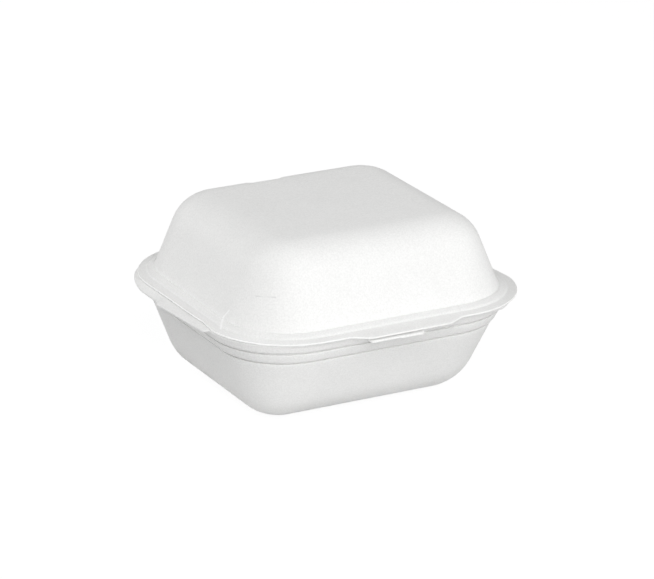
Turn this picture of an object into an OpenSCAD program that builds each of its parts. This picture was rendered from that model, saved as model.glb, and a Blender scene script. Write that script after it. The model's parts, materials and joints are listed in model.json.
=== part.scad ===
// Hinged foam food container: a tray and a domed lid pressed from one foam sheet,
// joined along the back by a thin folding crease and shut by a lip at the front.
// X runs side to side, Y from the front lip to the hinge, Z up from the surface it stands on.

/* [Overall size] */
// Width of the lid's rim, side to side
rim_w = 146; // [130:1:170]
// Depth of the lid's rim, front to back
rim_d = 139.3; // [125:0.1:165]
// Height of the closed container
total_h = 82.2; // [76:0.2:95]
// Height of the plane where the tray and the lid part
parting_z = 45.75; // [41:0.05:50]
// Plan radius of the rim's corners
corner_r = 37.6; // [34:0.1:40]
// How much narrower the rim is along the hinge than along the other sides
hinge_rim_less = 1.6; // [0:0.1:3]

/* [Foam] */
// Thickness of the foam in the walls, the floor and the top
wall_t = 2.2; // [1.6:0.1:2.8]
// Thickness of the foam where the rims are pressed
rim_t = 1.4; // [1.2:0.1:2]
// Thickness of both rims at their cut edges
edge_t = 0.8; // [0.6:0.05:1.2]
// Gap between the two closed rims
parting_gap = 0.3; // [0.2:0.05:0.5]

/* [Tray] */
// How far the floor's edge lies inside the lid's rim, before its bend
floor_inset = 21.7; // [18:0.1:23]
// How much further the front wall leans in at the floor than the other walls
front_lean = 5.9; // [0:0.1:8]
// Outer radius of the bend between the floor and the wall
tray_bend_r = 22.4; // [10:0.1:24]
// How far the top of the wall lies inside the lid's rim
shoulder_inset = 8.6; // [7.8:0.1:9]
// Depth of the top of the wall below the parting plane
shoulder_drop = 10.6; // [9:0.1:12]
// How far the top of the stacking band lies inside the lid's rim
band_inset = 5; // [4.6:0.1:6.4]
// Height of the stacking band between the two steps
band_h = 5.6; // [4.5:0.1:6.2]
// How far each stacking step juts out
step_out = 0.8; // [0.3:0.1:0.9]
// Height of each stacking step
step_h = 0.2; // [0.2:0.1:0.6]
// How far the tray's rim stays inside the lid's rim
tray_rim_inset = 2.4; // [1.6:0.1:2.6]
// Width of the flat land on the tray's rim
land_w = 3.2; // [2:0.1:4]

/* [Lid] */
// How far the foot of the dome lies inside the lid's rim
foot_inset = 8.3; // [7:0.1:10]
// Height of the dome's foot above the parting plane
foot_rise = 3.2; // [2.8:0.1:5]
// Radius of the hollow crease at the dome's foot
crease_r = 2.4; // [1.5:0.1:3]
// How far the top's edge lies inside the lid's rim, before its bend
top_inset = 21.5; // [18:0.1:22.5]
// Outer radius of the bend between the wall and the top
lid_bend_r = 19.3; // [10:0.1:20]
// Width of the low outer ledge of the rim
ledge_w = 4.2; // [3.4:0.1:4.8]
// How much the outer ledge rises towards the dome
ledge_rise = 0.45; // [0.2:0.05:0.7]
// Height of the riser between the two ledges of the rim
riser_h = 0.75; // [0.4:0.05:1]
// How far the closed lid sits to the right of the tray
lid_shift = 2; // [-2:0.1:2]

/* [Front closure] */
// Clear length of the lid's rim between the left corner and the lip
lip_left = 9.7; // [0.5:0.1:14]
// Clear length of the lid's rim between the lip and the right corner
lip_right = 4.4; // [0.5:0.1:14]
// Length of the curved shoulder at each end of the lip
lip_shoulder = 10.5; // [6:0.5:12]
// How far the lip stands out from the lid's rim
lip_reach = 4; // [2:0.1:6]
// How far the lip bends down at its edge
lip_drop = 0.4; // [0.2:0.1:1]
// Width of the tray's tongue under the lip
tongue_w = 25; // [16:0.5:34]
// How far the tongue stands out from the tray's rim
tongue_reach = 5.7; // [3:0.1:6]
// How far the tongue bends down at its edge
tongue_drop = 1.4; // [1.2:0.1:2]
// Place of the tongue's middle, to the right of the tray's middle
tongue_x = -1.5; // [-4:0.1:4]
// Length of the slanted cut at each end of the tongue
tongue_cut = 1.6; // [0.8:0.1:4]

/* [Side tabs] */
// Length of the pull tab on each side of the tray
tab_l = 44; // [30:0.5:50]
// Clear length of the tray's rim between the front corner and the tab
tab_clear = 1.2; // [0.6:0.1:6]
// How far the rim stands out along the sides, from the tab's front end to the back corner
side_reach = 1.5; // [0.5:0.1:1.6]
// How much further the tab stands out at its rear end
tab_reach = 2.9; // [1.5:0.1:4]
// How far the tab bends down at its rear end
tab_drop = 2.9; // [1:0.1:3.2]
// Reach of the tab at its front end, as a share of the rear end's
tab_taper = 0.15; // [0.1:0.05:1]
// Reach of the turned rim just behind the tab, as a share of the tab's
turned_rim = 0.65; // [0.3:0.05:0.8]
// Reach of the turned rim on its way round the back corner, as a share of the tab's
turned_tail = 0.2; // [0.1:0.05:0.3]

/* [Hinge] */
// Clear length of the rim between each back corner and the folding crease
hinge_clear = 2.7; // [0.5:0.1:6]
// Length of the curved shoulder at each end of the crease
hinge_shoulder = 4; // [2:0.5:6]
// How far the crease lies behind the rim
hinge_reach = 1; // [0.6:0.1:2]
// Thickness of the foam pressed thin beside the crease
hinge_t = 0.6; // [0.4:0.05:0.6]

/* [Back recess] */
// Width of the shallow recess in the back of the lid
recess_w = 15; // [8:0.5:24]
// Place of the recess's middle, to the right of the lid's middle
recess_x = -8.2; // [-12:0.1:12]
// Depth of the recess
recess_d = 0.6; // [0.2:0.1:1]
// Length of the slope at each end of the recess
recess_slope = 1.5; // [0.5:0.1:3]

/* [Hidden] */

foam_white = "#f4f4f2";

// Flat faces in a quarter turn of the plan, in a large bend and in a small one
corner_steps = 12;
bend_steps = 8;
small_steps = 3;
// Flat faces in the shoulder of a flap
shoulder_steps = 4;

// Smallest plan radius, and how far inside the rim's edge a flap starts to bend
corner_min = 1.5;
flap_root = 0.6;
// Length of the cut at each end of a tab, and of the ramp where the turned rim behind it runs out
tab_cut = 0.5;
turned_ramp = 4;
// Plan angles of the back corner between which the turned rim fades out
turned_fade = [30, 55];
// Run of the lid rim's riser, as a share of its height
riser_run = 0.5;
// Height over which the recess fades out below the top, and above the foot of the dome
recess_top_fade = 1.5;
recess_foot_fade = 10;

// Half lengths of the rim's straight sides
straight_x = rim_w / 2 - corner_r;
straight_y = rim_d / 2 - corner_r;

// Middle and full width of the lip, and full length of the crease, between their shoulders
lip_x = (lip_left - lip_right) / 2;
lip_w = 2 * (straight_x - lip_shoulder) - lip_left - lip_right;
hinge_w = 2 * (straight_x - hinge_shoulder - hinge_clear);

// Levels of the two rims
tray_rim_z = parting_z - parting_gap / 2;
lid_rim_z = parting_z + parting_gap / 2;
lid_edge_z = lid_rim_z + edge_t;
shoulder_z = parting_z - shoulder_drop;
foot_z = parting_z + foot_rise;

// Reach of the crease's strips, which stop short of the hinge's axis by half the gap
hinge_strip = hinge_reach - parting_gap / 2;

// The rim's middle, placed so that the whole length is centred on the origin
front_reach = max(lip_reach, tongue_reach - tray_rim_inset);
middle_y = (front_reach - hinge_strip) / 2;

// Plan and section helpers

function unit(v) = v / norm(v);

// Arc of radius r that rounds the corner b on the way from a to c
function bend(a, b, c, r, steps) =
    let (
        u = unit(a - b),
        v = unit(c - b),
        half = acos(u * v) / 2,
        middle = b + unit(u + v) * r / sin(half),
        start = b + u * r / tan(half) - middle,
        first = atan2(start.y, start.x),
        turn = sign(u.y * v.x - u.x * v.y) * (180 - 2 * half)
    )
    [for (i = [0:steps]) middle + r * [cos(first + turn * i / steps), sin(first + turn * i / steps)]];

// Curve from a to b that starts steep and ends level
function flare(a, b, steps) =
    [for (i = [0:steps])
        let (t = i / steps, rise = 1 - pow(1 - t, 2))
        [a.x + (b.x - a.x) * t, a.y + (b.y - a.y) * rise]];

// Smooth rise from 0 to 1
function ease(t) = let (s = min(1, max(0, t))) s * s * (3 - 2 * s);

// Share of a flap's reach at a distance from its middle: full over its width, easing off along its shoulder
function flap_share(distance, width, shoulder) = ease((width / 2 + shoulder - abs(distance)) / shoulder);

// Places along a side where a flap's left or right shoulder needs points
function shoulder_points(middle, width, shoulder, side) =
    let (near = width / 2, far = near + shoulder)
    [for (i = [0:shoulder_steps]) middle + side * (side < 0 ? far - shoulder * i / shoulder_steps
                                                           : near + shoulder * i / shoulder_steps)];

function flap_points(middle, width, shoulder) =
    concat(shoulder_points(middle, width, shoulder, -1), shoulder_points(middle, width, shoulder, 1));

function reversed(list) = [for (i = [len(list) - 1:-1:0]) list[i]];

function quarter(x, y, r, first) =
    [for (i = [0:corner_steps]) let (a = first + 90 * i / corner_steps) [x + r * cos(a), y + r * sin(a)]];

// Rounded rectangle that lies an offset outside the lid's rim, with its front and its back end
// set back by two amounts, and with extra points along its sides
function outline(offset, set_back, front_x, side_y, back_x) =
    let (
        half_w = rim_w / 2 + offset,
        front = -rim_d / 2 - offset + set_back[0],
        back = rim_d / 2 + offset + set_back[1],
        r = max(corner_min, corner_r + offset),
        x = half_w - r,
        middle = (front + back) / 2,
        along_x = x / straight_x,
        along_y = ((back - front) / 2 - r) / straight_y
    )
    concat(
        [for (p = front_x) [p * along_x, front]],
        quarter(x, front + r, r, -90),
        [for (p = side_y) [half_w, middle + p * along_y]],
        quarter(x, back - r, r, 0),
        [for (p = reversed(back_x)) [p * along_x, back]],
        quarter(-x, back - r, r, 90),
        [for (p = reversed(side_y)) [-half_w, middle + p * along_y]],
        quarter(-x, front + r, r, 180)
    );

// How far the back of a wall stands further back than the rim's width at the other sides gives
function hinge_gain(offset) = hinge_rim_less * min(1, -offset / foot_inset);

function mean(points) = [for (p = points) 1] * points / len(points);

// Closed skin through a stack of rings that have the same number of points; the first ring closes
// the underside, the last one closes the upper side, each by a flat fan around its middle
module skin(rings) {
    count = len(rings[0]);
    last = (len(rings) - 1) * count;
    first_middle = last + count;
    last_middle = first_middle + 1;
    walls = [
        for (low = [0:count:last - count], i = [0:count - 1])
            let (j = (i + 1) % count, high = low + count)
            each [[low + i, high + i, high + j], [low + i, high + j, low + j]]
    ];
    caps = [
        for (i = [0:count - 1])
            let (j = (i + 1) % count)
            each [[first_middle, i, j], [last_middle, last + j, last + i]]
    ];
    middles = [mean(rings[0]), mean(rings[len(rings) - 1])];
    polyhedron(points = concat([for (ring = rings) each ring], middles), faces = concat(walls, caps));
}

// Section of the tray: [offset from the lid's rim, height] from the floor's underside,
// up the outside, over the rim and down the inside

tray_lean = atan((floor_inset - shoulder_inset) / shoulder_z);
tray_wall_run = wall_t / cos(tray_lean);

floor_corner = [-floor_inset, 0];
shoulder = [-shoulder_inset, shoulder_z];
band_foot = shoulder + [step_out, step_h];
band_top = [-band_inset, shoulder_z + band_h];
flare_foot = band_top + [step_out, step_h];
rim_root = -tray_rim_inset - flap_root;

inner_floor_corner = [-floor_inset + wall_t * tan(tray_lean) - tray_wall_run, wall_t];
inner_shoulder = shoulder - [tray_wall_run, 0];
inner_band_top = band_top - [tray_wall_run, 0];
land_edge = [-tray_rim_inset - land_w, tray_rim_z];

tray_outside = concat(
    bend([-rim_w / 2, 0], floor_corner, shoulder, tray_bend_r, bend_steps),
    [shoulder, band_foot, band_top, flare_foot, [rim_root, tray_rim_z - rim_t]]
);
tray_edge_low = [-tray_rim_inset, tray_rim_z - edge_t];
tray_edge_high = [-tray_rim_inset, tray_rim_z];
tray_inside = concat(
    [[rim_root, tray_rim_z]],
    reversed(flare(inner_band_top, land_edge, small_steps)),
    [inner_shoulder],
    bend(inner_shoulder, inner_floor_corner, [-rim_w / 2, wall_t], tray_bend_r - wall_t, bend_steps)
);

// Reach along Y of the side tab and the turned rim behind it, which fades out in the back corner
tab_front = tab_clear - straight_y;
tab_rear = tab_front + tab_l;
tab_profile = [
    [tab_front, 0],
    [tab_front + tab_cut, tab_taper],
    [tab_rear - tab_cut, 1],
    [tab_rear, turned_rim],
    [tab_rear + turned_ramp, turned_tail]
];
fade_start = straight_y + corner_r * sin(turned_fade[0]);
fade_end = straight_y + corner_r * sin(turned_fade[1]);
side_profile = concat(tab_profile, [[fade_start, turned_tail], [fade_end, 0]]);
side_rim = [[tab_front, 0], [tab_front + tab_cut, 1], [fade_start, 1], [fade_end, 0]];
tray_front_x = flap_points(tongue_x, tongue_w, tongue_cut);
tray_side_y = [for (p = tab_profile) p[0]];
tray_back_x = flap_points(0, hinge_w, hinge_shoulder);

// Shift of a point of the tray rim's edge onto the tongue, a side tab or the crease's strip
function tray_flap(p, thinning) =
    let (
        tongue = p.y < 0 ? flap_share(p.x - tongue_x, tongue_w, tongue_cut) : 0,
        strip = p.y > 0 ? flap_share(p.x, hinge_w, hinge_shoulder) : 0,
        tab = lookup(p.y, side_profile)
    )
    [
        sign(p.x) * (tab * tab_reach + lookup(p.y, side_rim) * side_reach),
        strip * (hinge_strip + tray_rim_inset) - tongue * tongue_reach,
        strip * thinning - tongue * tongue_drop - tab * tab_drop
    ];

function tray_ring(level) =
    let (set_back = [front_lean * max(0, 1 - level.y / shoulder_z), hinge_gain(level.x)])
    [for (p = outline(level.x, set_back, tray_front_x, tray_side_y, tray_back_x)) [p.x, p.y, level.y]];

function tray_edge(level, thinning) =
    [for (p = outline(level.x, [0, 0], tray_front_x, tray_side_y, tray_back_x))
        [p.x, p.y, level.y] + tray_flap(p, thinning)];

module tray() {
    color(foam_white)
        translate([0, middle_y, 0])
            skin(concat(
                [for (level = tray_outside) tray_ring(level)],
                [tray_edge(tray_edge_low, edge_t - hinge_t), tray_edge(tray_edge_high, 0)],
                [for (level = tray_inside) tray_ring(level)]
            ));
}

// Section of the lid: [offset from the lid's rim, height] from the top, down the outside,
// round the rim and up the inside

lid_lean = atan((top_inset - foot_inset) / (total_h - foot_z));
lid_wall_run = wall_t / cos(lid_lean);

top_corner = [-top_inset, total_h];
foot = [-foot_inset, foot_z];
riser_foot = [-ledge_w, lid_edge_z + ledge_rise];
riser_top = riser_foot + [-riser_run * riser_h, riser_h];

inner_top_corner = [-top_inset - lid_wall_run + wall_t * tan(lid_lean), total_h - wall_t];
inner_foot = [-foot_inset - lid_wall_run, foot_z - rim_t];
inner_riser_top = riser_top - [0, rim_t];
inner_riser_foot = [-ledge_w, lid_rim_z];

lid_outside = concat(
    bend([-rim_w / 2, total_h], top_corner, foot, lid_bend_r, bend_steps),
    bend(top_corner, foot, riser_top, crease_r, small_steps),
    [riser_top, riser_foot, [-flap_root, lid_edge_z]]
);
lid_edge_high = [0, lid_edge_z];
lid_edge_low = [0, lid_rim_z];
lid_inside = concat(
    [[-flap_root, lid_rim_z], inner_riser_foot, inner_riser_top, inner_foot],
    bend(inner_foot, inner_top_corner, [-rim_w / 2, total_h - wall_t], lid_bend_r - wall_t, bend_steps)
);

lid_front_x = flap_points(lip_x, lip_w, lip_shoulder);
lid_back_x = concat(
    shoulder_points(0, hinge_w, hinge_shoulder, -1),
    flap_points(recess_x, recess_w, recess_slope),
    shoulder_points(0, hinge_w, hinge_shoulder, 1)
);

// Shift of a point of the lid rim's edge onto the lip or the crease's strip
function lid_flap(p, thinning) =
    let (
        lip = p.y < 0 ? flap_share(p.x - lip_x, lip_w, lip_shoulder) : 0,
        strip = p.y > 0 ? flap_share(p.x, hinge_w, hinge_shoulder) : 0
    )
    [0, strip * hinge_strip - lip * lip_reach, -strip * thinning - lip * lip_drop];

// Depth of the back recess at a height, fading out at the top and towards the foot of the dome
recess_profile = [
    [foot_z, 0],
    [foot_z + recess_foot_fade, recess_d],
    [total_h - recess_top_fade, recess_d],
    [total_h, 0]
];

// Shift of a point of the dome into the recess; thickness is how deep under the outside it lies
function recess_shift(p, z, thickness) =
    let (
        share = p.y > 0 ? flap_share(p.x - recess_x, recess_w, recess_slope) : 0,
        depth = share * lookup(z + thickness, recess_profile)
    )
    [0, -depth, -depth];

function lid_ring(level, thickness) =
    [for (p = outline(level.x, [0, hinge_gain(level.x)], lid_front_x, [], lid_back_x))
        [p.x, p.y, level.y] + recess_shift(p, level.y, thickness)];

function lid_edge(level, thinning) =
    [for (p = outline(level.x, [0, 0], lid_front_x, [], lid_back_x))
        [p.x, p.y, level.y] + lid_flap(p, thinning)];

module lid() {
    color(foam_white)
        translate([lid_shift, middle_y, 0])
            skin(reversed(concat(
                [for (level = lid_outside) lid_ring(level, 0)],
                [lid_edge(lid_edge_high, edge_t - hinge_t), lid_edge(lid_edge_low, 0)],
                [for (level = lid_inside) lid_ring(level, wall_t)]
            )));
}

tray();
lid();
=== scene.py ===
"""Foam clamshell food container: the looks of its pressed tray, its domed lid and the joining crease."""
import json
import math

import bmesh
import bpy
from mathutils import Matrix, Vector


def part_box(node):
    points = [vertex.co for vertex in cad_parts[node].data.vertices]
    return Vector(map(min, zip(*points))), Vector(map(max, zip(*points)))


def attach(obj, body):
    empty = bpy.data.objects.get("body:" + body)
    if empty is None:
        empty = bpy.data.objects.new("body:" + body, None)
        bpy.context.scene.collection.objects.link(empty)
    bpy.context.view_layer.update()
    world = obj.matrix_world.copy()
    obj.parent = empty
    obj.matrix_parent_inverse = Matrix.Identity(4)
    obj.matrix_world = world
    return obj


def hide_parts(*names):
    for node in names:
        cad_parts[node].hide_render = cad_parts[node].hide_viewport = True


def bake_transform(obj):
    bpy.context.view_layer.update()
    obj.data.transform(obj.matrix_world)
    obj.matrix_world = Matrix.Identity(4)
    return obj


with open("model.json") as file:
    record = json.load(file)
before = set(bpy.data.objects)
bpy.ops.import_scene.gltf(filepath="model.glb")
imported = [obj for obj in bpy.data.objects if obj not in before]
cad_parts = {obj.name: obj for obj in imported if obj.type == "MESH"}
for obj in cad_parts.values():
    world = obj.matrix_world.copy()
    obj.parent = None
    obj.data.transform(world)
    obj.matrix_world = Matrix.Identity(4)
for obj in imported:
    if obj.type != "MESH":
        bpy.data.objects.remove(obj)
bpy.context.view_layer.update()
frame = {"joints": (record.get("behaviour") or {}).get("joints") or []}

MM = 0.001

# Sizes read from the frame, in millimetres
lid_low, lid_high = (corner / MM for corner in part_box("lid"))
hinge_axis = Vector(frame["joints"][0]["pos_m"]) / MM
RIM_W = lid_high.x - lid_low.x
TOTAL_H = lid_high.z
LID_SHIFT = (lid_low.x + lid_high.x) / 2
PARTING_Z = hinge_axis.z

# Rims and foam, in millimetres
CORNER_R = 37.6
HINGE_RIM_LESS = 1.6
WALL_T = 2.2
RIM_T = 1.4
EDGE_T = 0.8
EDGE_R = 0.2
UNDERSIDE_R = 0.3
CENTRE_R = 0.3
PARTING_GAP = 0.3
FLAP_ROOT = 1.5

# Tray, in millimetres; insets count inwards from the lid's rim
FLOOR_INSET = 21.7
FRONT_LEAN = 5.9
TRAY_BEND_R = 22.4
SHOULDER_INSET = 8.6
SHOULDER_Z = PARTING_Z - 10.6
BAND_INSET = 5.0
BAND_H = 5.6
STEP_OUT = 0.8
STEP_H = 0.2
STEP_R = 1.8
GROOVE_DEPTH = 1.2
GROOVE_H = 0.65
GROOVE_R = 0.1
INNER_SHOULDER_R = 2.5
INNER_BAND_R = 2.0
TRAY_RIM_INSET = 2.4
RIM_UNDERCUT = 0.4
LAND_W = 3.2
LAND_R = 1.2

# Lid, in millimetres; insets count inwards from its rim
FOOT_INSET = 8.3
FOOT_Z = PARTING_Z + 3.2
CREASE_R = 0.5
CREASE_DEPTH = 0.45
CREASE_W = 1.0
TOP_INSET = 21.5
LID_BEND_R = 19.3
INNER_FOOT_R = 1.5
LEDGE_W = 4.2
LEDGE_RISE = 0.45
LEDGE_R = 0.4
RISER_H = 0.75
RISER_RUN = 0.9
RISER_R = 0.6
SIDE_TRIM = 1.3
TRIM_LEAD = 6.0
TRIM_RAMP = 8.0

# Lip, tongue, side tabs, hinge strips, web and back recess, in millimetres
LIP_LEFT = 9.7
LIP_RIGHT = 4.4
LIP_SHOULDER = 10.5
LIP_REACH = 4.0
LIP_DROP = 0.4
TONGUE_X = -1.5
TONGUE_W = 25.0
TONGUE_CUT = 1.6
TONGUE_REACH = 5.7
TONGUE_DROP = 1.4
TAB_L = 44.0
TAB_CLEAR = 1.2
SIDE_REACH = 1.5
TAB_REACH = 2.9
TAB_DROP = 2.3
TAB_CUT = 0.5
TURNED_RAMP = 4.0
HINGE_CLEAR = 2.7
HINGE_SHOULDER = 4.0
HINGE_REACH = 1.0
HINGE_T = 0.6
WEB_T = 0.3
WEB_HOLD = 0.1
RECESS_X = -8.2
RECESS_W = 15.0
RECESS_SLOPE = 1.5
RECESS_D = 0.6
RECESS_TOP_FADE = 1.5
RECESS_FOOT_FADE = 10.0

# Shares of the side rim's reach, drop and trim along it, and the degrees of a corner over which they fade
TAB_TAPER = 0.3
TURNED_RIM = 0.65
TURNED_TAIL = 0.2
DROP_FRONT = 0.2
DROP_REAR = 0.7
DROP_TAIL = 0.15
DROP_CORNER = 0.8
TRIM_MIDDLE = 0.6
TRIM_TAIL = 0.4
TURNED_FADE = (30, 55)
CORNER_FADE = (52, 75)

# Irregularities and grain of the pressed and cut sheet, in millimetres
WAVE_HEIGHT = 0.22
WAVE_LENGTH = 30.0
RAGGED_DEPTH = 0.18
RAGGED_LENGTH = 1.4
CELL_SIZE = 0.7
MOTTLE_SIZE = 16.0
SKIN_RELIEF = 0.05
CUT_RELIEF = 0.12

# Places across the lid, in millimetres, between which the painted highlight on its left edge fades, and
# that glow's strength
PAINTED_HIGHLIGHT_FADE = (-62, -46)
PAINTED_HIGHLIGHT_GLOW = 0.15

# Lines at the lid's left front corner: start and end in millimetres, width, and their tone; the two light
# ones are painted highlights along the flange crease, the dark one a fine scratch
CREASE_HIGHLIGHTS_AND_SCRATCH = (
    ((-61.2, -29.8, 52.7), (-62.6, -27.0, 49.1), 0.8, "#fefefe"),
    ((-62.6, -27.0, 49.1), (-67.5, -34.6, 47.0), 0.8, "#fefefe"),
    ((-54.5, -42.1, 62.1), (-48.5, -48.9, 62.7), 0.45, "#dededd"),
)

# Spacing of the mesh along the rim, up the walls and near the cut edge in millimetres, and its counts
PATH_STEP = 0.8
WALL_STEP = 2.5
EDGE_STEP = 0.3
ARC_STEP = math.radians(8)
CORNER_POINTS = 512
WEB_LAYERS = 10

# Floor and lamps, in metres; a lamp is (name, azimuth and elevation in degrees, watts)
FLOOR_REACH = 6.0
LAMP_DISTANCE = 1.6
LAMP_SIZE = 1.0
LAMP_TARGET = Vector((0, 0, 0.04))
LAMPS = (
    ("key", -18, 30, 17.0),
    ("left_fill", -110, 50, 3.7),
    ("rear_left_fill", -150, 20, 8.5),
    ("right_fill", 58, 26, 7.5),
)

# Values worked out from those above
HINGE_STRIP = HINGE_REACH - PARTING_GAP / 2
RIM_D = lid_high.y - lid_low.y - LIP_REACH - HINGE_STRIP
MIDDLE_Y = hinge_axis.y - HINGE_REACH - RIM_D / 2
STRAIGHT_X = RIM_W / 2 - CORNER_R
STRAIGHT_Y = RIM_D / 2 - CORNER_R
TRAY_RIM_Z = PARTING_Z - PARTING_GAP / 2
LID_RIM_Z = PARTING_Z + PARTING_GAP / 2
LID_EDGE_Z = LID_RIM_Z + EDGE_T
HINGE_W = 2 * (STRAIGHT_X - HINGE_SHOULDER - HINGE_CLEAR)
FLAT_EDGE = CENTRE_R - CORNER_R


def linear(code):
    """Linear colour of an sRGB hex code."""
    channels = [int(code[i:i + 2], 16) / 255 for i in (1, 3, 5)]
    return [c / 12.92 if c <= 0.04045 else ((c + 0.055) / 1.055) ** 2.4 for c in channels] + [1.0]


def add(tree, kind, links=None, **settings):
    """Adds a node with its settings; a link is a value, a socket, or a node whose first output is meant."""
    node = tree.nodes.new(kind)
    for name, value in settings.items():
        setattr(node, name, value)
    for key, value in (links or {}).items():
        source = value.outputs[0] if isinstance(value, bpy.types.Node) else value
        if isinstance(source, bpy.types.NodeSocket):
            tree.links.new(source, node.inputs[key])
        else:
            node.inputs[key].default_value = source
    return node


# Materials

def new_material(name):
    """A material with an empty node tree, and the tree."""
    material = bpy.data.materials.new(name)
    material.use_nodes = True
    material.node_tree.nodes.clear()
    return material, material.node_tree


def line_share(tree, place, start, end, width):
    """Share of a line between two places in millimetres: 1 along it, 0 beyond its width."""
    start, end = Vector(start) * MM, Vector(end) * MM
    run = end - start
    offset = add(tree, "ShaderNodeVectorMath", {0: place, 1: start}, operation="SUBTRACT")
    along = add(tree, "ShaderNodeVectorMath", {
        0: offset, 1: run / run.length_squared}, operation="DOT_PRODUCT")
    share = add(tree, "ShaderNodeClamp", {"Value": along.outputs["Value"]})
    nearest = add(tree, "ShaderNodeVectorMath", {0: run, "Scale": share}, operation="SCALE")
    gap = add(tree, "ShaderNodeVectorMath", {0: offset, 1: nearest}, operation="DISTANCE")
    return add(tree, "ShaderNodeMapRange", {
        "Value": gap.outputs["Value"], "From Min": width * MM, "From Max": 0.0},
        interpolation_type="SMOOTHSTEP")


def pressed_foam_skin():
    """Expanded polystyrene foam with the smooth skin of a hot press: matte, with a faint grain of cells,
    painted highlights along the crease at the lid's left front corner, and a fine darker scratch."""
    material, tree = new_material("expanded_polystyrene_pressed_skin")
    place = add(tree, "ShaderNodeTexCoord").outputs["Object"]
    cells = add(tree, "ShaderNodeTexNoise", {"Vector": place, "Scale": 1 / (CELL_SIZE * MM), "Detail": 2.0})
    mottle = add(tree, "ShaderNodeTexNoise", {
        "Vector": place, "Scale": 1 / (MOTTLE_SIZE * MM), "Detail": 1.0})
    mottle_weight = 0.15
    grain = add(tree, "ShaderNodeMath", {0: mottle, 1: mottle_weight, 2: cells}, operation="MULTIPLY_ADD")
    share = add(tree, "ShaderNodeMapRange", {"Value": grain, "From Min": 0.35, "From Max": 0.8})
    colour = add(tree, "ShaderNodeMix", {"Factor": share, "A": linear("#ebebea"), "B": linear("#f6f6f5")},
                 data_type="RGBA")
    relief = add(tree, "ShaderNodeBump", {
        "Height": cells, "Strength": 0.4, "Distance": SKIN_RELIEF * MM})
    colour = colour.outputs["Result"]
    # painted highlights along the lid's corner crease, and a darker scratch line
    for start, end, width, tone in CREASE_HIGHLIGHTS_AND_SCRATCH:
        line = line_share(tree, place, start, end, width)
        colour = add(tree, "ShaderNodeMix", {"Factor": line, "A": colour, "B": linear(tone)},
                     data_type="RGBA").outputs["Result"]
    skin = add(tree, "ShaderNodeBsdfPrincipled", {
        "Base Color": colour, "Roughness": 0.72, "IOR": 1.45, "Specular IOR Level": 0.3, "Normal": relief})
    add(tree, "ShaderNodeOutputMaterial", {"Surface": skin})
    return material


def cut_cells_and_painted_highlight():
    """Expanded polystyrene foam where the die cut it: open cells that catch the light as a bright line, and
    a faint glow on the left, a painted highlight that gives the white line along the lid's edge there."""
    material, tree = new_material("expanded_polystyrene_cut_edge_painted_highlight")
    place = add(tree, "ShaderNodeTexCoord").outputs["Object"]
    cells = add(tree, "ShaderNodeTexVoronoi", {"Vector": place, "Scale": 1 / (CELL_SIZE * MM)})
    colour = add(tree, "ShaderNodeMix", {
        "Factor": cells.outputs["Distance"], "A": linear("#fefefd"), "B": linear("#f4f4f3")},
        data_type="RGBA")
    relief = add(tree, "ShaderNodeBump", {
        "Height": cells.outputs["Distance"], "Strength": 0.6, "Distance": CUT_RELIEF * MM})
    across = add(tree, "ShaderNodeSeparateXYZ", {0: place})
    # painted highlight: emission that brightens the lid's left cut edge, fading out towards the middle
    glow = add(tree, "ShaderNodeMapRange", {
        "Value": across, "From Min": PAINTED_HIGHLIGHT_FADE[1] * MM, "From Max": PAINTED_HIGHLIGHT_FADE[0] * MM, "To Max": PAINTED_HIGHLIGHT_GLOW})
    face = add(tree, "ShaderNodeBsdfPrincipled", {
        "Base Color": colour.outputs["Result"], "Roughness": 0.85, "IOR": 1.45, "Specular IOR Level": 0.2,
        "Emission Color": linear("#ffffff"), "Emission Strength": glow, "Normal": relief})
    add(tree, "ShaderNodeOutputMaterial", {"Surface": face})
    return material


# Sections of the pressed sheet

def rounded(corners):
    """Points along a path of (x, z, radius) corners, with an arc at each corner that has a radius."""
    points = [Vector(corners[0][:2])]
    for before, here, after in zip(corners, corners[1:], corners[2:]):
        corner, radius = Vector(here[:2]), here[2]
        back = (Vector(before[:2]) - corner).normalized()
        on = (Vector(after[:2]) - corner).normalized()
        half = back.angle(on) / 2
        middle = corner + (back + on).normalized() * radius / math.sin(half)
        first = corner + back * radius / math.tan(half) - middle
        last = corner + on * radius / math.tan(half) - middle
        turn = math.copysign(math.pi - 2 * half, first.cross(last))
        steps = max(2, math.ceil(abs(turn) * min(1 / ARC_STEP, 2 * radius / EDGE_STEP)))
        points += [middle + Matrix.Rotation(turn * i / steps, 2) @ first for i in range(steps + 1)]
    return points + [Vector(corners[-1][:2])]


def spaced(points, edge_x):
    """The same path with points between those that lie too far apart, close together near the cut edge."""
    result = [points[0]]
    for a, b in zip(points, points[1:]):
        step = EDGE_STEP if max(a.x, b.x) > edge_x - 2 * FLAP_ROOT else WALL_STEP
        count = max(1, math.ceil((b - a).length / step))
        result += [a.lerp(b, i / count) for i in range(1, count + 1)]
    return result


def clamped(value):
    return min(1.0, max(0.0, value))


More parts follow.
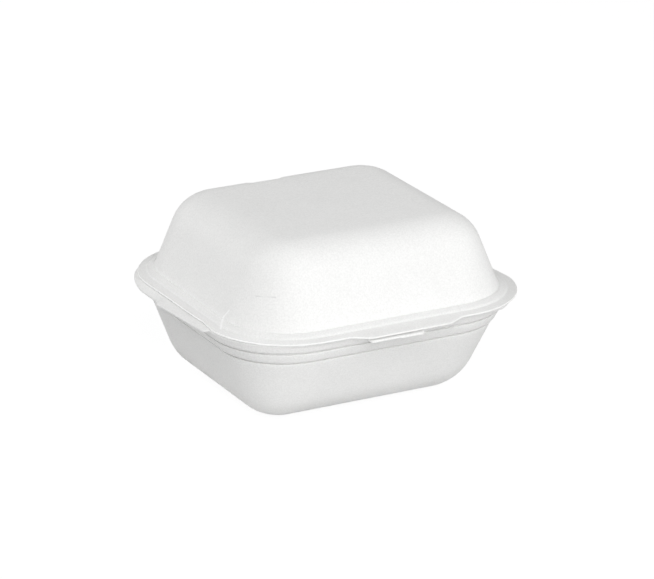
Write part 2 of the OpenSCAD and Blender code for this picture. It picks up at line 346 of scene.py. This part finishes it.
def tray_section():
    """Corners of the tray's section, from the inner floor over the rim to the underside."""
    lean = math.atan((FLOOR_INSET - SHOULDER_INSET) / SHOULDER_Z)
    run = WALL_T / math.cos(lean)
    band_top = Vector((-BAND_INSET, SHOULDER_Z + BAND_H))
    shoulder = Vector((-SHOULDER_INSET, SHOULDER_Z))

    def step(corner, below):
        """Corners from a step's underside round the groove below it to the wall, which runs on to below."""
        lip = corner.lerp(below, GROOVE_H / (corner.y - below.y))
        return [
            (corner.x + STEP_OUT, corner.y + STEP_H, STEP_R),
            (corner.x - GROOVE_DEPTH, corner.y + STEP_H, GROOVE_R),
            (corner.x - GROOVE_DEPTH, lip.y, GROOVE_R),
            (lip.x, lip.y, GROOVE_R),
        ]

    return [
        (FLAT_EDGE, WALL_T, 0),
        (-FLOOR_INSET + WALL_T * math.tan(lean) - run, WALL_T, TRAY_BEND_R - WALL_T),
        (-SHOULDER_INSET - run, SHOULDER_Z, INNER_SHOULDER_R),
        (band_top.x - run, band_top.y, INNER_BAND_R),
        (-TRAY_RIM_INSET - LAND_W, TRAY_RIM_Z, LAND_R),
        (-TRAY_RIM_INSET, TRAY_RIM_Z, EDGE_R),
        (-TRAY_RIM_INSET, TRAY_RIM_Z - EDGE_T, EDGE_R),
        (-TRAY_RIM_INSET - RIM_UNDERCUT, TRAY_RIM_Z - RIM_T, UNDERSIDE_R),
        *step(band_top, shoulder + Vector((STEP_OUT, STEP_H))),
        *step(shoulder, Vector((-FLOOR_INSET, 0))),
        (-FLOOR_INSET, 0, TRAY_BEND_R),
        (FLAT_EDGE, 0, 0),
    ]


def lid_section():
    """Corners of the lid's section, from the top over the dome and round the rim to the inside."""
    lean = math.atan((TOP_INSET - FOOT_INSET) / (TOTAL_H - FOOT_Z))
    run = WALL_T / math.cos(lean)
    riser_foot = -LEDGE_W, LID_EDGE_Z + LEDGE_RISE
    riser_top = riser_foot[0] - RISER_RUN, riser_foot[1] + RISER_H
    slope = (FOOT_Z - riser_top[1]) / (FOOT_INSET + riser_top[0])
    foot_z = FOOT_Z - CREASE_W * slope
    return [
        (FLAT_EDGE, TOTAL_H, 0),
        (-TOP_INSET, TOTAL_H, LID_BEND_R),
        (-FOOT_INSET, FOOT_Z - CREASE_DEPTH, CREASE_R),
        (-FOOT_INSET + CREASE_W, foot_z, CREASE_R),
        (*riser_top, RISER_R),
        (*riser_foot, RISER_R),
        (0, LID_EDGE_Z, LEDGE_R),
        (0, LID_RIM_Z, EDGE_R),
        (-LEDGE_W, LID_RIM_Z, UNDERSIDE_R),
        (riser_top[0], riser_top[1] - RIM_T, UNDERSIDE_R),
        (-FOOT_INSET - run, FOOT_Z - RIM_T, INNER_FOOT_R),
        (-TOP_INSET - run + WALL_T * math.tan(lean), TOTAL_H - WALL_T, LID_BEND_R - WALL_T),
        (FLAT_EDGE, TOTAL_H - WALL_T, 0),
    ]


def section_strip(name, corners, edge_x, kept_z, thickness, open_cells, recessed):
    """Edge mesh of a section, with each point's share in the flaps, the thinning, the cut and the recess.
    The thickness counts from the rim's parting face, which stays.
    The sweep takes X outwards and Y downwards."""
    points = spaced(rounded(corners), edge_x)
    mesh = bpy.data.meshes.new(name)
    edges = [(i, i + 1) for i in range(len(points) - 1)]
    mesh.from_pydata([(p.x * MM, -p.y * MM, 0) for p in points], edges, [])
    depth = [(p.y - kept_z) / thickness for p in points]
    plate = [clamped((RIM_T - d * EDGE_T) / (RIM_T - EDGE_T)) for d in depth]
    edge = [clamped(1 - (edge_x - p.x) / FLAP_ROOT) for p in points]
    flap = [e * share for e, share in zip(edge, plate)]
    rise = [clamped((p.y - FOOT_Z) / RECESS_FOOT_FADE) for p in points]
    fade = [clamped((TOTAL_H - p.y) / RECESS_TOP_FADE) for p in points]
    shares = {
        "inset": [-p.x * MM for p in points],
        "edge": edge,
        "flap": flap,
        "thin": [f * clamped(d) for f, d in zip(flap, depth)],
        "cut": [open_cells if p.x > edge_x - EDGE_T / 4 else 0.0 for p in points],
        "recess": [r * f * recessed for r, f in zip(rise, fade)],
    }
    for key, values in shares.items():
        mesh.attributes.new(key, "FLOAT", "POINT").data.foreach_set("value", values)
    strip = bpy.data.objects.new(name, mesh)
    bpy.context.scene.collection.objects.link(strip)
    return strip


# Geometry Nodes tree that presses a section round the rim

SHELL_INPUTS = (
    "Rim Width", "Rim Depth", "Corner Radius", "Path Step", "Seat X", "Seat Y", "Front Lean", "Lean Height",
    "Hinge Rim Less", "Foot Inset", "Flap Middle", "Flap Width", "Flap Shoulder", "Flap Reach", "Flap Drop",
    "Strip Width", "Strip Shoulder", "Strip Reach", "Strip Thinning", "Side Reach", "Side Trim",
    "Tab Reach", "Tab Drop", "Recess Middle", "Recess Width", "Recess Slope", "Recess Depth",
    "Wave Height", "Ragged Depth",
)

# (place along Y, share of the reach, trim or drop) of the sides' rim, the tab and the turned rim behind it
TAB_FRONT = TAB_CLEAR - STRAIGHT_Y
TAB_REAR = TAB_FRONT + TAB_L
FADE_START, FADE_END = (
    STRAIGHT_Y + CORNER_R * math.sin(math.radians(angle)) for angle in TURNED_FADE)
CORNER_REAR, CORNER_FRONT = (
    -STRAIGHT_Y - CORNER_R * math.sin(math.radians(angle)) for angle in CORNER_FADE)
LEFT_RIM = [(TAB_FRONT, 0), (TAB_FRONT + TAB_CUT, 1), (FADE_START, 1), (FADE_END, 0)]
RIGHT_RIM = [(CORNER_FRONT, 0), (CORNER_REAR, 1), (FADE_START, 1), (FADE_END, 0)]
TRIM_RIM = [
    (TAB_FRONT - TRIM_LEAD, 0),
    (TAB_FRONT + TRIM_RAMP, 1),
    (TAB_FRONT / 2, TRIM_MIDDLE),
    (STRAIGHT_Y, TRIM_TAIL),
    (FADE_END, 0),
]
TAB_RIM = [
    (TAB_FRONT, 0),
    (TAB_FRONT + TAB_CUT, TAB_TAPER),
    (TAB_REAR - TAB_CUT, 1),
    (TAB_REAR, TURNED_RIM),
    (TAB_REAR + TURNED_RAMP, TURNED_TAIL),
    (FADE_START, TURNED_TAIL),
    (FADE_END, 0),
]
LEFT_DROP = [
    (TAB_FRONT, 0),
    (TAB_FRONT + TAB_CUT, DROP_FRONT),
    (TAB_REAR - TAB_CUT, DROP_REAR),
    (TAB_REAR, 1),
    (STRAIGHT_Y, 1),
    (FADE_START, DROP_TAIL),
    (FADE_END, 0),
]
RIGHT_DROP = [(CORNER_FRONT, 0), (CORNER_REAR, DROP_CORNER), (-FADE_START, DROP_CORNER), *LEFT_DROP[1:]]


def shell_tree(skin, cut):
    """Sweeps the section round the rim, leans the front wall, draws out the flaps and roughens the edge."""
    tree = bpy.data.node_groups.new("pressed_shell", "GeometryNodeTree")
    tree.interface.new_socket("Geometry", in_out="INPUT", socket_type="NodeSocketGeometry")
    tree.interface.new_socket("Geometry", in_out="OUTPUT", socket_type="NodeSocketGeometry")
    for name in SHELL_INPUTS:
        tree.interface.new_socket(name, in_out="INPUT", socket_type="NodeSocketFloat")
    given = add(tree, "NodeGroupInput").outputs

    def calc(operation, *values):
        return add(tree, "ShaderNodeMath", dict(enumerate(values)), operation=operation)

    def share(name):
        return add(tree, "GeometryNodeInputNamedAttribute", {"Name": name}, data_type="FLOAT")

    def profile(depth, rows):
        """Share by the place along Y, read from a curve through the rows."""
        node = add(tree, "ShaderNodeFloatCurve", {"Value": depth})
        curve = node.mapping.curves[0]
        curve.points[0].location, curve.points[1].location = (0, 0), (1, 0)
        for y, reach in rows:
            curve.points.new(y / RIM_D + 0.5, reach)
        for point in curve.points:
            point.handle_type = "VECTOR"
        node.mapping.update()
        return node

    def flap_share(x, middle, width, shoulder):
        """1 over a flap's width, easing to 0 along the shoulder at each of its ends."""
        distance = calc("ABSOLUTE", calc("SUBTRACT", x, middle))
        near = calc("MULTIPLY", width, 0.5)
        return add(tree, "ShaderNodeMapRange", {
            "Value": distance, "From Min": calc("ADD", near, shoulder), "From Max": near},
            interpolation_type="SMOOTHSTEP")

    # Sweep along the rim
    path = add(tree, "GeometryNodeCurvePrimitiveQuadrilateral", {
        "Width": given["Rim Width"], "Height": given["Rim Depth"]})
    path = add(tree, "GeometryNodeFilletCurve", {
        "Curve": path, "Count": CORNER_POINTS, "Radius": given["Corner Radius"]}, mode="POLY")
    path = add(tree, "GeometryNodeResampleCurve", {
        "Curve": path, "Length": given["Path Step"]}, mode="LENGTH")
    path = add(tree, "GeometryNodeSetCurveNormal", {"Curve": path}, mode="Z_UP")
    section = add(tree, "GeometryNodeMeshToCurve", {"Mesh": given["Geometry"]})
    shell = add(tree, "GeometryNodeCurveToMesh", {"Curve": path, "Profile Curve": section})

    # Places of the swept points, and which end of the container they are at
    place = add(tree, "ShaderNodeSeparateXYZ", {0: add(tree, "GeometryNodeInputPosition")}).outputs
    half_depth = calc("MULTIPLY", given["Rim Depth"], 0.5)
    straight = calc("SUBTRACT", half_depth, given["Corner Radius"])
    rear = add(tree, "ShaderNodeMapRange", {
        "Value": place["Y"], "From Min": calc("MULTIPLY", straight, -1.0), "From Max": straight})
    behind = calc("GREATER_THAN", place["Y"], 0.0)
    ahead = calc("SUBTRACT", 1.0, behind)
    flap = share("flap")
    bent = calc("MULTIPLY", flap, flap)

    # Front wall's lean, and the narrower rim along the hinge
    low = calc("MAXIMUM", calc("SUBTRACT", 1.0, calc("DIVIDE", place["Z"], given["Lean Height"])), 0.0)
    front_shift = calc("MULTIPLY", calc("MULTIPLY", given["Front Lean"], low), calc("SUBTRACT", 1.0, rear))
    gain = calc("MINIMUM", calc("DIVIDE", share("inset"), given["Foot Inset"]), 1.0)
    gain = calc("MULTIPLY", gain, given["Hinge Rim Less"])
    gain = calc("MULTIPLY", gain, calc("SUBTRACT", 1.0, share("edge")))
    set_back = calc("ADD", front_shift, calc("MULTIPLY", gain, rear))

    # Lip or tongue, crease strip, side tabs and back recess
    front_flap = calc("MULTIPLY", ahead, flap_share(
        place["X"], given["Flap Middle"], given["Flap Width"], given["Flap Shoulder"]))
    strip = calc("MULTIPLY", behind, flap_share(
        place["X"], 0.0, given["Strip Width"], given["Strip Shoulder"]))
    depth = calc("ADD", calc("DIVIDE", place["Y"], given["Rim Depth"]), 0.5)
    tab = profile(depth, TAB_RIM)
    right = calc("GREATER_THAN", place["X"], 0.0)
    side = add(tree, "ShaderNodeMix", {
        "Factor": right, "A": profile(depth, LEFT_RIM), "B": profile(depth, RIGHT_RIM)})
    side_drop = add(tree, "ShaderNodeMix", {
        "Factor": right, "A": profile(depth, LEFT_DROP), "B": profile(depth, RIGHT_DROP)})
    ledge = add(tree, "ShaderNodeMapRange", {
        "Value": share("inset"), "From Min": LEDGE_W * MM, "From Max": 0.0})
    trim = calc("MULTIPLY", calc("MULTIPLY", given["Side Trim"], profile(depth, TRIM_RIM)), ledge)
    side_reach = calc("MULTIPLY", given["Side Reach"], side)
    side_reach = calc("ADD", calc("MULTIPLY", given["Tab Reach"], tab), side_reach)
    recess = calc("MULTIPLY", calc("MULTIPLY", behind, share("recess")), flap_share(
        place["X"], given["Recess Middle"], given["Recess Width"], given["Recess Slope"]))
    hollow = calc("MULTIPLY", recess, given["Recess Depth"])

    outward = calc("SUBTRACT", calc("MULTIPLY", side_reach, flap), trim)
    across = calc("MULTIPLY", calc("SIGN", place["X"]), outward)
    along = calc("SUBTRACT", calc("MULTIPLY", given["Strip Reach"], strip), calc(
        "MULTIPLY", given["Flap Reach"], front_flap))
    along = calc("SUBTRACT", calc("ADD", set_back, calc("MULTIPLY", along, flap)), hollow)
    droop = calc("ADD", calc("MULTIPLY", given["Flap Drop"], front_flap), calc(
        "MULTIPLY", given["Tab Drop"], side_drop))
    thinning = calc("MULTIPLY", calc("MULTIPLY", given["Strip Thinning"], strip), share("thin"))
    rise = calc("SUBTRACT", calc("SUBTRACT", thinning, hollow), calc("MULTIPLY", droop, bent))
    moved = add(tree, "ShaderNodeCombineXYZ", {"X": across, "Y": along, "Z": rise})
    shell = add(tree, "GeometryNodeSetPosition", {"Geometry": shell, "Offset": moved})
    seat = add(tree, "ShaderNodeCombineXYZ", {"X": given["Seat X"], "Y": given["Seat Y"]})
    shell = add(tree, "GeometryNodeTransform", {"Geometry": shell, "Translation": seat})

    # Slow waves of both rims, and the cut edge's ragged loss of foam, which leaves the crease alone
    position = add(tree, "GeometryNodeInputPosition")
    level = add(tree, "ShaderNodeVectorMath", {0: position, 1: (1.0, 1.0, 0.0)}, operation="MULTIPLY")
    wave = add(tree, "ShaderNodeTexNoise", {
        "Vector": level, "Scale": 1 / (WAVE_LENGTH * MM), "Detail": 0.0})
    near_rim = add(tree, "ShaderNodeMapRange", {
        "Value": share("inset"), "From Min": given["Foot Inset"], "From Max": 0.0},
        interpolation_type="SMOOTHSTEP")
    lift = calc("MULTIPLY", calc("MULTIPLY", calc("SUBTRACT", wave, 0.5), given["Wave Height"]), near_rim)
    rags = add(tree, "ShaderNodeTexNoise", {
        "Vector": position, "Scale": 1 / (RAGGED_LENGTH * MM), "Detail": 1.0})
    loss = add(tree, "ShaderNodeMapRange", {"Value": rags, "From Min": 0.45, "From Max": 0.75})
    loss = calc("MULTIPLY", calc("MULTIPLY", loss, given["Ragged Depth"]), share("cut"))
    loss = calc("MULTIPLY", loss, calc("SUBTRACT", 1.0, strip))
    bite = add(tree, "ShaderNodeVectorMath", {
        0: add(tree, "GeometryNodeInputNormal"), "Scale": calc("MULTIPLY", loss, -1.0)}, operation="SCALE")
    rough = add(tree, "ShaderNodeVectorMath", {
        0: bite, 1: add(tree, "ShaderNodeCombineXYZ", {"Z": lift})}, operation="ADD")
    shell = add(tree, "GeometryNodeSetPosition", {"Geometry": shell, "Offset": rough})

    shell = add(tree, "GeometryNodeSetShadeSmooth", {"Geometry": shell})
    shell = add(tree, "GeometryNodeRealizeInstances", {"Geometry": shell})
    shell = add(tree, "GeometryNodeSetMaterial", {"Geometry": shell, "Material": skin})
    shell = add(tree, "GeometryNodeSetMaterial", {
        "Geometry": shell, "Selection": calc("GREATER_THAN", share("cut"), 0.5), "Material": cut})
    add(tree, "NodeGroupOutput", {"Geometry": shell})
    return tree


def press_shell(strip, tree, sizes):
    """Turns a section strip into its shell: a plain closed mesh, with the sizes given in millimetres."""
    modifier = strip.modifiers.new("press", "NODES")
    modifier.node_group = tree
    for item in tree.interface.items_tree:
        if item.in_out == "INPUT" and item.name in SHELL_INPUTS:
            modifier[item.identifier] = sizes.get(item.name, 0.0) * MM
    mesh = bpy.data.meshes.new_from_object(strip.evaluated_get(bpy.context.evaluated_depsgraph_get()))
    strip.modifiers.remove(modifier)

    closed = bmesh.new()
    closed.from_mesh(mesh)
    openings = [edge for edge in closed.edges if edge.is_boundary]
    flats = bmesh.ops.holes_fill(closed, edges=openings, sides=0)["faces"]
    for face in bmesh.ops.poke(closed, faces=flats)["faces"]:
        face.smooth = True
    bmesh.ops.recalc_face_normals(closed, faces=closed.faces)
    closed.to_mesh(mesh)
    closed.free()
    mesh.name = strip.name
    strip.data = mesh
    return strip


def crease_web(material):
    """Thin web of foam left by the folding crease between the two strips, built of stacked layers."""
    back = hinge_axis.y - PARTING_GAP / 2
    low, high = TRAY_RIM_Z - WEB_HOLD, LID_RIM_Z + WEB_HOLD
    points = []
    for i in range(WEB_LAYERS + 1):
        share = i / WEB_LAYERS
        middle, z = LID_SHIFT * share, low + (high - low) * share
        points += [(middle + side * HINGE_W / 2, y, z) for side, y in (
            (-1, back - WEB_T), (1, back - WEB_T), (1, back), (-1, back))]
    faces = [(3, 2, 1, 0), tuple(4 * WEB_LAYERS + k for k in range(4))]
    faces += [(4 * i + k, 4 * i + (k + 1) % 4, 4 * i + 4 + (k + 1) % 4, 4 * i + 4 + k)
              for i in range(WEB_LAYERS) for k in range(4)]
    mesh = bpy.data.meshes.new("crease_web")
    mesh.from_pydata([Vector(p) * MM for p in points], [], faces)
    mesh.materials.append(material)
    web = bpy.data.objects.new("crease_web", mesh)
    bpy.context.scene.collection.objects.link(web)
    return web


# Pieces

skin = pressed_foam_skin()
cut = cut_cells_and_painted_highlight()
press = shell_tree(skin, cut)

shared_sizes = {
    "Rim Width": RIM_W, "Rim Depth": RIM_D, "Corner Radius": CORNER_R, "Path Step": PATH_STEP,
    "Seat Y": MIDDLE_Y, "Lean Height": SHOULDER_Z, "Hinge Rim Less": HINGE_RIM_LESS,
    "Foot Inset": FOOT_INSET,
    "Strip Width": HINGE_W, "Strip Shoulder": HINGE_SHOULDER,
    "Wave Height": WAVE_HEIGHT, "Ragged Depth": RAGGED_DEPTH,
}

tray = press_shell(
    section_strip("foam_tray", tray_section(), -TRAY_RIM_INSET, TRAY_RIM_Z, -EDGE_T, 0.0, 0.0), press, {
        **shared_sizes, "Front Lean": FRONT_LEAN,
        "Flap Middle": TONGUE_X, "Flap Width": TONGUE_W, "Flap Shoulder": TONGUE_CUT,
        "Flap Reach": TONGUE_REACH, "Flap Drop": TONGUE_DROP,
        "Strip Reach": HINGE_STRIP + TRAY_RIM_INSET, "Strip Thinning": EDGE_T - HINGE_T,
        "Side Reach": SIDE_REACH, "Tab Reach": TAB_REACH, "Tab Drop": TAB_DROP,
    })
lid = press_shell(
    section_strip("foam_lid", lid_section(), 0.0, LID_RIM_Z, EDGE_T, 1.0, 1.0), press, {
        **shared_sizes, "Seat X": LID_SHIFT, "Side Trim": SIDE_TRIM,
        "Flap Middle": (LIP_LEFT - LIP_RIGHT) / 2, "Flap Shoulder": LIP_SHOULDER,
        "Flap Width": 2 * (STRAIGHT_X - LIP_SHOULDER) - LIP_LEFT - LIP_RIGHT,
        "Flap Reach": LIP_REACH, "Flap Drop": LIP_DROP,
        "Strip Reach": HINGE_STRIP, "Strip Thinning": HINGE_T - EDGE_T,
        "Recess Middle": RECESS_X, "Recess Width": RECESS_W,
        "Recess Slope": RECESS_SLOPE, "Recess Depth": RECESS_D,
    })
for piece, body in ((tray, "tray"), (lid, "lid")):
    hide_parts(body)
    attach(piece, body)
web = crease_web(skin)
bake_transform(web)


# Stage, light and camera

def seen_share(tree):
    """1 for rays that see a surface, directly, mirrored or through glass, and 0 for the rest."""
    rays = add(tree, "ShaderNodeLightPath").outputs
    seen = add(tree, "ShaderNodeMath", {
        0: rays["Is Camera Ray"], 1: rays["Is Glossy Ray"]}, operation="MAXIMUM")
    return add(tree, "ShaderNodeMath", {0: seen, 1: rays["Is Transmission Ray"]}, operation="MAXIMUM")


def white_stage():
    """Pale floor that shows as white with a faint shadow, and a white world."""
    material, tree = new_material("pale_floor")
    white_share = 0.85
    share = add(tree, "ShaderNodeMath", {0: seen_share(tree), 1: white_share}, operation="MULTIPLY")
    paint = add(tree, "ShaderNodeBsdfDiffuse", {"Color": linear("#e2e2e2")})
    glow = add(tree, "ShaderNodeEmission", {"Color": (1, 1, 1, 1), "Strength": 1.1})
    add(tree, "ShaderNodeOutputMaterial", {
        "Surface": add(tree, "ShaderNodeMixShader", {0: share, 1: paint, 2: glow})})
    corners = [(x * FLOOR_REACH, y * FLOOR_REACH, 0) for x, y in ((-1, -1), (1, -1), (1, 1), (-1, 1))]
    mesh = bpy.data.meshes.new("floor")
    mesh.from_pydata(corners, [], [(0, 1, 2, 3)])
    mesh.materials.append(material)
    floor = bpy.data.objects.new("floor", mesh)
    bpy.context.scene.collection.objects.link(floor)

    world = bpy.data.worlds.new("white_studio")
    world.use_nodes = True
    tree = world.node_tree
    tree.nodes.clear()
    strength = add(tree, "ShaderNodeMapRange", {"Value": seen_share(tree), "To Min": 0.175, "To Max": 1.0})
    sky = add(tree, "ShaderNodeBackground", {"Color": (1, 1, 1, 1), "Strength": strength})
    add(tree, "ShaderNodeOutputWorld", {"Surface": sky})
    bpy.context.scene.world = world


def facing(target, azimuth, elevation, distance):
    """Place and turn of a lamp or camera that looks at a target; azimuth 0 looks along +Y."""
    a, e = math.radians(azimuth), math.radians(elevation)
    back = Vector((math.sin(a) * math.cos(e), -math.cos(a) * math.cos(e), math.sin(e)))
    turn = (-back).to_track_quat("-Z", "Y").to_matrix().to_4x4()
    return Matrix.Translation(target + back * distance) @ turn


def soft_lamp(name, azimuth, elevation, power):
    """Square lamp that faces the container."""
    lamp = bpy.data.lights.new(name, "AREA")
    lamp.shape = "SQUARE"
    lamp.size = LAMP_SIZE
    lamp.energy = power
    holder = bpy.data.objects.new(name, lamp)
    holder.matrix_world = facing(LAMP_TARGET, azimuth, elevation, LAMP_DISTANCE)
    bpy.context.scene.collection.objects.link(holder)


def photo_camera():
    """Camera at the photograph's angle; width, focal length and shifts are in the picture's pixels."""
    width, focal, shift_x, shift_y = 654, 3614, 6.0, 3.1
    azimuth, elevation, distance = -27.67, 20.09, 1.597
    camera = bpy.data.cameras.new("photo_camera")
    camera.sensor_width = 36
    camera.lens = focal * camera.sensor_width / width
    camera.shift_x = shift_x / width
    camera.shift_y = shift_y / width
    holder = bpy.data.objects.new("photo_camera", camera)
    aim_back, aim_height = 0.8, 40
    aim = Vector((0, MIDDLE_Y + aim_back, aim_height)) * MM
    holder.matrix_world = facing(aim, azimuth, elevation, distance)
    bpy.context.scene.collection.objects.link(holder)
    bpy.context.scene.camera = holder


white_stage()
for lamp in LAMPS:
    soft_lamp(*lamp)
photo_camera()
bpy.context.scene.view_settings.view_transform = "Standard"
